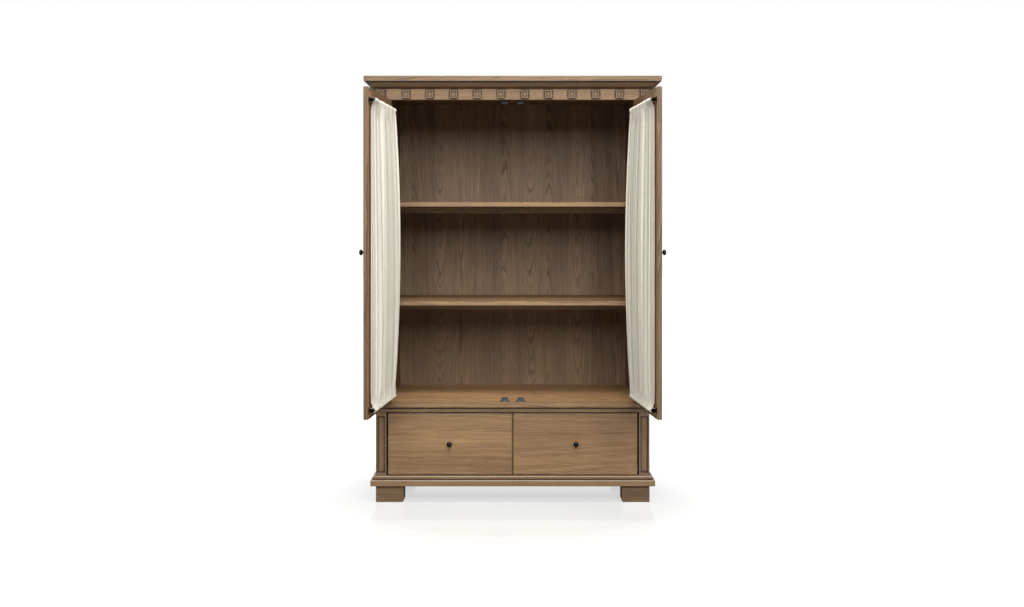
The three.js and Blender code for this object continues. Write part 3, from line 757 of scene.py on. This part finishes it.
def bakeModifiers(piece):
    bpy.context.view_layer.update()
    graph = bpy.context.evaluated_depsgraph_get()
    mesh = bpy.data.meshes.new_from_object(piece.evaluated_get(graph))
    piece.modifiers.clear()
    piece.data = mesh


def growFromNodes(name, tree, values, start=None):
    # an object whose mesh the tree makes, turned into a plain mesh
    piece = bpy.data.objects.new(name, start or bpy.data.meshes.new(name))
    scene.collection.objects.link(piece)
    modifier = piece.modifiers.new("nodes", "NODES")
    modifier.node_group = tree
    for item in tree.interface.items_tree:
        if item.in_out == "INPUT" and item.name in values:
            modifier[item.identifier] = values[item.name]
    bakeModifiers(piece)
    return piece


def easedBlock(name, corners, body, slot, material, ease=0.4):
    # a small plate with eased edges; corners are its eight points, near face then far face
    bm = bmesh.new()
    points = [bm.verts.new(c) for c in corners]
    for quad in ((0, 1, 2, 3), (4, 5, 6, 7), (0, 1, 5, 4), (1, 2, 6, 5), (2, 3, 7, 6), (3, 0, 4, 7)):
        bm.faces.new([points[i] for i in quad])
    bmesh.ops.recalc_face_normals(bm, faces=bm.faces)
    bmesh.ops.bevel(bm, geom=list(bm.edges), offset=ease * mm, segments=2, affect="EDGES")
    return finishPiece(toObject(name, bm, material, smoothAngle=40), body, slot)


screws = screwTree()
screwShape = screwHead(screwLook)

strikeLook = {"width": 38, "height": 16, "thickness": 1.0, "fromCatch": 8}
for door in doors:
    suffix, places = door["suffix"], []
    face = doorBox(door, f"lead_stile_{suffix}")[1][1] + 0.1 * mm
    for level in ("deck", "head"):
        # a steel plate on the door, where it meets the catch when the door is closed
        catchLow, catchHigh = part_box(f"catch_{level}_{suffix}")
        along = abs(door["pin"].x) - abs(catchLow.x + catchHigh.x) / 2
        z = (catchLow.z + catchHigh.z) / 2 + (2 * mm if level == "deck" else -2 * mm)
        w, h = strikeLook["width"] / 2 * mm, strikeLook["height"] / 2 * mm
        thick = strikeLook["thickness"] * mm
        quad = [(-w, -h), (w, -h), (w, h), (-w, h)]
        corners = [
            fromDoor(door, along + a, inward, z + b) for inward in (face, face + thick) for a, b in quad
        ]
        name = f"strike{level.capitalize()}{suffix.capitalize()}"
        easedBlock(name, corners, door["body"], "black_iron", zinc, 0.3)
        places += [(fromDoor(door, along + a, face + thick, z), door["inward"]) for a in (-0.013, 0.013)]
    for level in ("top", "bottom"):
        # two screws in each foot of the rods
        low, high = doorBox(door, f"rod_{level}_{suffix}")
        middle = (low[2] + high[2]) / 2
        for along in (low[0] + 7 * mm, high[0] - 7 * mm):
            places += [
                (fromDoor(door, along, low[1] + 2.3 * mm, middle + z), door["inward"])
                for z in (-10.2 * mm, 10.2 * mm)
            ]
    addScrews(f"doorScrews{suffix.capitalize()}", door["body"], "black_iron", iron, places)
print("screws driven")

# Curtains: gathered on a rod at the top and another at the bottom.

curtainLook = {
    "flatWidth": 760,  # before gathering
    "header": 11,  # beyond the rod's axis
    "pocket": 9,  # from the rod's axis to the seam
    "layer": 1.2,  # cloth off the rod
    "fineFolds": 25, "fineDepth": 2.6, "scallop": 2.2,  # gathers on the rods
    "broadFolds": 6, "broadDepth": 8.0,  # where it hangs free
    "bow": 24,  # how far the hinge side bows into the room
    "tuck": 9,  # how far the leading edge lies behind the rods
    "columns": 200, "rows": 60,
    "thickness": 0.7,
}


def curtainRows(look):
    # (part, position): an angle round a rod, or the share of the free hang
    turn = [-125 + 215 * i / 11 for i in range(12)]
    rows = [("top", math.radians(angle)) for angle in turn]
    rows += [("hang", i / look["rows"]) for i in range(look["rows"] + 1)]
    return rows + [("bottom", math.radians(angle)) for angle in reversed(turn)]


def curtainPoint(look, part, place, u, rods, waves):
    # offset from the rods' plane, height, and how far a fold leans sideways; u is 0 at the hinge side
    sway = sum(a * math.sin(2 * math.pi * n * u + p) for a, p, n in waves) / 3
    fine = math.sin(2 * math.pi * look["fineFolds"] * u + 2.4 * sway)
    coarse = math.sin(2 * math.pi * look["broadFolds"] * u + 2.6 * sway)
    gather = (look["fineDepth"] * (1 + fine) + look["scallop"] * (1 + coarse)) * mm
    off = 5 * mm + look["layer"] * mm
    header, pocket = look["header"] * mm, look["pocket"] * mm
    if part != "hang":
        up = 1 if part == "top" else -1
        high = header * (0.88 + 0.06 * fine + 0.06 * coarse) if abs(place) < math.pi / 2 else pocket / 0.57
        return math.sin(place) * (off + gather), rods[part] + up * math.cos(place) * high, 0.0
    hang = math.sin(math.pi * place)
    loose = min(1, min(place, 1 - place) / 0.05)
    loose = loose * loose * (3 - 2 * loose)
    moved = sum(a * math.sin(2 * math.pi * n * u + p + 1.1 * n * place) for a, p, n in waves) / 3
    broad = math.sin(2 * math.pi * look["broadFolds"] * u + 2.6 * moved)
    half = math.sin(2 * math.pi * 2.7 * look["broadFolds"] * u + 3.1 * moved + 2 * place)
    fold = look["broadDepth"] * mm * (broad + 0.4 * half) * (0.72 + 0.28 * math.sin(9 * u + 1.7))
    bow = look["bow"] * mm * hang ** 0.7 * (1 - u) ** 0.7
    edge = max(0, (u - 0.75) / 0.25)
    tuck = look["tuck"] * mm * edge * min(1, min(place, 1 - place) / 0.01)
    start = (off * 0.4 + gather) * (1 - 0.8 * edge)
    offset = start * (1 - loose) + fold * loose * (1 - 0.8 * edge) + bow - tuck
    top, bottom = rods["top"] - pocket, rods["bottom"] + pocket
    lean = 3 * mm * loose * math.sin(4 * math.pi * look["broadFolds"] * u + 5.2 * moved)
    return offset, top + (bottom - top) * place, lean


def gatheredCurtain(door):
    look = curtainLook
    suffix = door["suffix"]
    luck = random.Random("curtain" + suffix)
    low, high = doorBox(door, f"curtain_{suffix}")
    rods, plane = {}, 0.0
    for place in ("top", "bottom"):
        rodLow, rodHigh = doorBox(door, f"rod_{place}_{suffix}")
        rods[place] = (rodLow[2] + rodHigh[2]) / 2
        plane = rodHigh[1] - 7 * mm
    waves = [(luck.uniform(0.5, 1.0), luck.uniform(0, 2 * math.pi), n) for n in (1, 2, 3)]
    rows = curtainRows(look)
    bm = bmesh.new()
    flat = bm.loops.layers.uv.new("flat")
    grid, lengths, travelled, last = [], [], 0.0, None
    for part, place in rows:
        offset, z, lean = curtainPoint(look, part, place, 0.5, rods, [])
        if last:
            travelled += math.hypot(offset - last[0], z - last[1])
        last = offset, z
        lengths.append(travelled)
        line = []
        for column in range(look["columns"] + 1):
            u = column / look["columns"]
            offset, z, lean = curtainPoint(look, part, place, u, rods, waves)
            along = low[0] + (high[0] - low[0]) * u + lean
            line.append(bm.verts.new(fromDoor(door, along, plane + offset, z)))
        grid.append(line)
    flatStep = look["flatWidth"] * mm / look["columns"]
    for row in range(len(rows) - 1):
        for column in range(look["columns"]):
            quad = ((row, column), (row, column + 1), (row + 1, column + 1), (row + 1, column))
            face = bm.faces.new([grid[r][c] for r, c in quad])
            for loop, (r, c) in zip(face.loops, quad):
                loop[flat].uv = (c * flatStep, lengths[r])
    if sides[suffix] > 0:
        bmesh.ops.reverse_faces(bm, faces=bm.faces)
    bm.normal_update()
    piece = toObject(f"curtain{suffix.capitalize()}", bm, linen, smoothAngle=80)
    shell = piece.modifiers.new("thickness", "SOLIDIFY")
    shell.thickness = look["thickness"] * mm
    shell.offset = 0
    bakeModifiers(piece)
    finishPiece(piece, door["body"], "curtain_cloth", f"curtain_{suffix}")
    return piece


for door in doors:
    gatheredCurtain(door)
print("curtains gathered")

# Wire mesh in the doors: two sets of slanting wires, woven over and under each other.

meshLook = {"pitch": 38, "wire": 1.6, "stepsPerCrossing": 5}


def latticeTree():
    tree = bpy.data.node_groups.new("wovenWire", "GeometryNodeTree")
    tree.interface.new_socket("Geometry", in_out="OUTPUT", socket_type="NodeSocketGeometry")
    for name in ("Width", "Height", "Pitch", "Wire"):
        tree.interface.new_socket(name, in_out="INPUT", socket_type="NodeSocketFloat")
    tree.interface.new_socket("Material", in_out="INPUT", socket_type="NodeSocketMaterial")
    given = addNode(tree, "NodeGroupInput").outputs
    width, height, pitch = given["Width"], given["Height"], given["Pitch"]
    reach = addNode(tree, "ShaderNodeMath", {0: width, 1: height}, operation="ADD")
    count = addNode(tree, "ShaderNodeMath", {0: reach, 1: pitch}, operation="DIVIDE")
    whole = addNode(tree, "ShaderNodeMath", {0: count}, operation="FLOOR")
    families = []
    for slant in (1, -1):
        # a wire lies where along + slant * up equals a whole number of pitches
        points = addNode(tree, "GeometryNodeMeshLine", {"Count": whole})
        number = addNode(
            tree, "ShaderNodeMath", {0: addNode(tree, "GeometryNodeInputIndex"), 1: 1.0}, operation="ADD",
        )
        total = addNode(tree, "ShaderNodeMath", {0: number, 1: pitch}, operation="MULTIPLY")
        if slant < 0:
            rows = addNode(tree, "ShaderNodeMath", {0: height, 1: pitch}, operation="DIVIDE")
            rows = addNode(tree, "ShaderNodeMath", {0: rows}, operation="FLOOR")
            down = addNode(tree, "ShaderNodeMath", {0: rows, 1: pitch}, operation="MULTIPLY")
            total = addNode(tree, "ShaderNodeMath", {0: total, 1: down}, operation="SUBTRACT")
        named = addNode(
            tree, "GeometryNodeStoreNamedAttribute",
            {"Geometry": points, "Name": "level", "Value": total}, data_type="FLOAT", domain="POINT",
        )
        stick = addNode(tree, "GeometryNodeCurvePrimitiveLine", {"Start": (0, 0, 0), "End": (0, 0, 1)})
        origin = addNode(tree, "GeometryNodeSetPosition", {"Geometry": named, "Position": (0, 0, 0)})
        copies = addNode(tree, "GeometryNodeInstanceOnPoints", {"Points": origin, "Instance": stick})
        wires = addNode(tree, "GeometryNodeRealizeInstances", {"Geometry": copies})
        level = addNode(tree, "GeometryNodeInputNamedAttribute", {"Name": "level"}, data_type="FLOAT")
        share = addNode(
            tree, "ShaderNodeSeparateXYZ", {0: addNode(tree, "GeometryNodeInputPosition")},
        ).outputs["Z"]
        if slant > 0:
            least = addNode(tree, "ShaderNodeMath", {0: level, 1: height}, operation="SUBTRACT")
            most = level
        else:
            least = level
            most = addNode(tree, "ShaderNodeMath", {0: level, 1: height}, operation="ADD")
        least = addNode(tree, "ShaderNodeMath", {0: least, 1: 0.0}, operation="MAXIMUM")
        most = addNode(tree, "ShaderNodeMath", {0: most, 1: width}, operation="MINIMUM")
        along = addNode(tree, "ShaderNodeMapRange", {0: share, 3: least, 4: most})
        up = addNode(tree, "ShaderNodeMath", {0: level, 1: along}, operation="SUBTRACT")
        up = addNode(tree, "ShaderNodeMath", {0: up, 1: float(slant)}, operation="MULTIPLY")
        straight = addNode(tree, "ShaderNodeCombineXYZ", {"X": along, "Z": up})
        placed = addNode(tree, "GeometryNodeSetPosition", {"Geometry": wires, "Position": straight})
        step = addNode(
            tree, "ShaderNodeMath",
            {0: pitch, 1: 0.7071 / meshLook["stepsPerCrossing"]}, operation="MULTIPLY",
        )
        fine = addNode(tree, "GeometryNodeResampleCurve", {"Curve": placed, "Length": step}, mode="LENGTH")
        here = addNode(
            tree, "ShaderNodeSeparateXYZ", {0: addNode(tree, "GeometryNodeInputPosition")},
        ).outputs["X"]
        turns = addNode(tree, "ShaderNodeMath", {0: here, 1: pitch}, operation="DIVIDE")
        angle = addNode(tree, "ShaderNodeMath", {0: turns, 1: 2 * math.pi}, operation="MULTIPLY")
        wave = addNode(tree, "ShaderNodeMath", {0: angle}, operation="COSINE")
        half = addNode(tree, "ShaderNodeMath", {0: given["Wire"], 1: 0.52 * slant}, operation="MULTIPLY")
        crimp = addNode(tree, "ShaderNodeMath", {0: wave, 1: half}, operation="MULTIPLY")
        offset = addNode(tree, "ShaderNodeCombineXYZ", {"Y": crimp})
        families.append(addNode(tree, "GeometryNodeSetPosition", {"Geometry": fine, "Offset": offset}))
    both = addNode(tree, "GeometryNodeJoinGeometry")
    for family in families:
        tree.links.new(family.outputs[0], both.inputs[0])
    radius = addNode(tree, "ShaderNodeMath", {0: given["Wire"], 1: 0.5}, operation="MULTIPLY")
    ring = addNode(tree, "GeometryNodeCurvePrimitiveCircle", {"Resolution": 6, "Radius": radius})
    solid = addNode(
        tree, "GeometryNodeCurveToMesh", {"Curve": both, "Profile Curve": ring, "Fill Caps": True},
    )
    smooth = addNode(tree, "GeometryNodeSetShadeSmooth", {"Geometry": solid})
    plain = addNode(tree, "GeometryNodeRealizeInstances", {"Geometry": smooth})
    coloured = addNode(tree, "GeometryNodeSetMaterial", {"Geometry": plain, "Material": given["Material"]})
    addNode(tree, "NodeGroupOutput", {"Geometry": coloured})
    return tree


beadLook = {"width": 20, "clearance": 0.2, "ease": 1.5}


def panelBeads(door):
    # four strips in the rebate hold the mesh; each laps a little over the opening
    suffix = door["suffix"]
    low, high = doorBox(door, f"mesh_panel_{suffix}")
    face = doorBox(door, f"lead_stile_{suffix}")[1][1]
    back = high[1] + 0.3 * mm
    lap = beadLook["width"] * mm
    gap = beadLook["clearance"] * mm
    strips = {
        "Top": ((low[0] + gap, high[0] - gap), (high[2] - lap, high[2] - gap), "along"),
        "Bottom": ((low[0] + gap, high[0] - gap), (low[2] + gap, low[2] + lap), "along"),
        "Hinge": ((low[0] + gap, low[0] + lap), (low[2] + lap + gap, high[2] - lap - gap), "z"),
        "Lead": ((high[0] - lap, high[0] - gap), (low[2] + lap + gap, high[2] - lap - gap), "z"),
    }
    for name, (spanA, spanZ, grain) in strips.items():
        bm = bmesh.new()
        corners = {
            (i, j, k): bm.verts.new(fromDoor(door, spanA[i], (back, face)[j], spanZ[k]))
            for i in (0, 1) for j in (0, 1) for k in (0, 1)
        }
        for side in (0, 1):
            for loop in (
                [(side, 0, 0), (side, 1, 0), (side, 1, 1), (side, 0, 1)],
                [(0, side, 0), (1, side, 0), (1, side, 1), (0, side, 1)],
                [(0, 0, side), (1, 0, side), (1, 1, side), (0, 1, side)],
            ):
                bm.faces.new([corners[key] for key in loop])
        bmesh.ops.recalc_face_normals(bm, faces=bm.faces)
        bmesh.ops.bevel(bm, geom=list(bm.edges), offset=beadLook["ease"] * mm, segments=3, affect="EDGES")
        piece = toObject(f"bead{name}{suffix.capitalize()}", bm, ash, smoothAngle=50)
        along, across = (axisOf["z"], door["along"]) if grain == "z" else (door["along"], axisOf["z"])
        setGrain(piece, along, across, 0.85, 0.2)
        finishPiece(piece, door["body"], "stained_ash")


lattice = latticeTree()
for door in doors:
    panelBeads(door)
    suffix = door["suffix"]
    low, high = doorBox(door, f"mesh_panel_{suffix}")
    margin = 1.5 * mm
    values = {
        "Width": high[0] - low[0] - 2 * margin, "Height": high[2] - low[2] - 2 * margin,
        "Pitch": meshLook["pitch"] * mm, "Wire": meshLook["wire"] * mm, "Material": wire,
    }
    piece = growFromNodes(f"wireMesh{suffix.capitalize()}", lattice, values)
    start = fromDoor(door, low[0] + margin, (low[1] + high[1]) / 2 + 0.5 * mm, low[2] + margin)
    turned = Matrix((door["along"], door["inward"], axisOf["z"])).transposed().to_4x4()
    place = Matrix.Translation(start) @ turned
    piece.data.transform(place)
    if sides[suffix] > 0:
        piece.data.flip_normals()
    finishPiece(piece, door["body"], "mesh_wire", f"mesh_panel_{suffix}")
print("wire mesh woven")

# Floor, light and background.

stageLook = {
    "floor": "969694", "floorRoughness": 0.1,
    "glowNear": 0.61, "glowFar": 0.97,  # the floor's glow is for the camera only
    "fill": 0.07, "mirrored": 0.35,  # the room's light on things, and in their gloss
    "softboxes": [  # power, width, height, place, aim
        (760, 6.5, 4.0, (0.45, -8.0, 4.7), (0, 0, 1.2)),
        (190, 3.6, 1.6, (0.4, -2.1, 4.8), (0, 0.1, 1.0)),
        (420, 6.0, 2.5, (-1.5, 7.0, 6.2), (0, 0.4, 1.0)),  # lights the back
    ],
}


def makeStage(look):
    bm = bmesh.new()
    bmesh.ops.create_grid(bm, x_segments=1, y_segments=1, size=30)
    material, tree, shader = newMaterial("paleFloor")
    shader.inputs["Base Color"].default_value = hexToLinear(look["floor"])
    shader.inputs["Roughness"].default_value = look["floorRoughness"]
    shader.inputs["Emission Color"].default_value = (1, 1, 1, 1)
    seen = addNode(tree, "ShaderNodeLightPath").outputs["Is Camera Ray"]
    place = addNode(tree, "ShaderNodeTexCoord").outputs["Object"]
    away = addNode(tree, "ShaderNodeVectorMath", {0: place}, operation="LENGTH").outputs["Value"]
    near, far = look["glowNear"], look["glowFar"]
    glow = addNode(tree, "ShaderNodeMapRange", {0: away, 1: 0.72, 2: 1.5, 3: near, 4: far})
    link(tree, addNode(tree, "ShaderNodeMath", {0: seen, 1: glow}, operation="MULTIPLY"),
         shader.inputs["Emission Strength"])
    floor = toObject("floor", bm, material)
    floor.location.z = -0.5 * mm

    world = bpy.data.worlds.new("studio")
    scene.world = world
    world.use_nodes = True
    tree = world.node_tree
    tree.nodes.clear()
    ray = addNode(tree, "ShaderNodeLightPath").outputs
    strength = addNode(
        tree, "ShaderNodeMapRange", {0: ray["Is Glossy Ray"], 3: look["fill"], 4: look["mirrored"]},
    )
    strength = addNode(tree, "ShaderNodeMath", {0: ray["Is Camera Ray"], 1: strength}, operation="MAXIMUM")
    sky = addNode(tree, "ShaderNodeBackground", {"Color": (1, 1, 1, 1), "Strength": strength})
    addNode(tree, "ShaderNodeOutputWorld", {"Surface": sky})

    for number, (power, width, height, place, aim) in enumerate(look["softboxes"]):
        lamp = bpy.data.lights.new(f"softbox{number}", "AREA")
        lamp.shape = "RECTANGLE"
        lamp.size, lamp.size_y, lamp.energy = width, height, power
        box = bpy.data.objects.new(f"softbox{number}", lamp)
        box.location = place
        box.visible_camera = False
        box.rotation_euler = (Vector(aim) - box.location).to_track_quat("-Z", "Y").to_euler()
        scene.collection.objects.link(box)


makeStage(stageLook)
scene.view_settings.view_transform = "Standard"
print("stage lit")
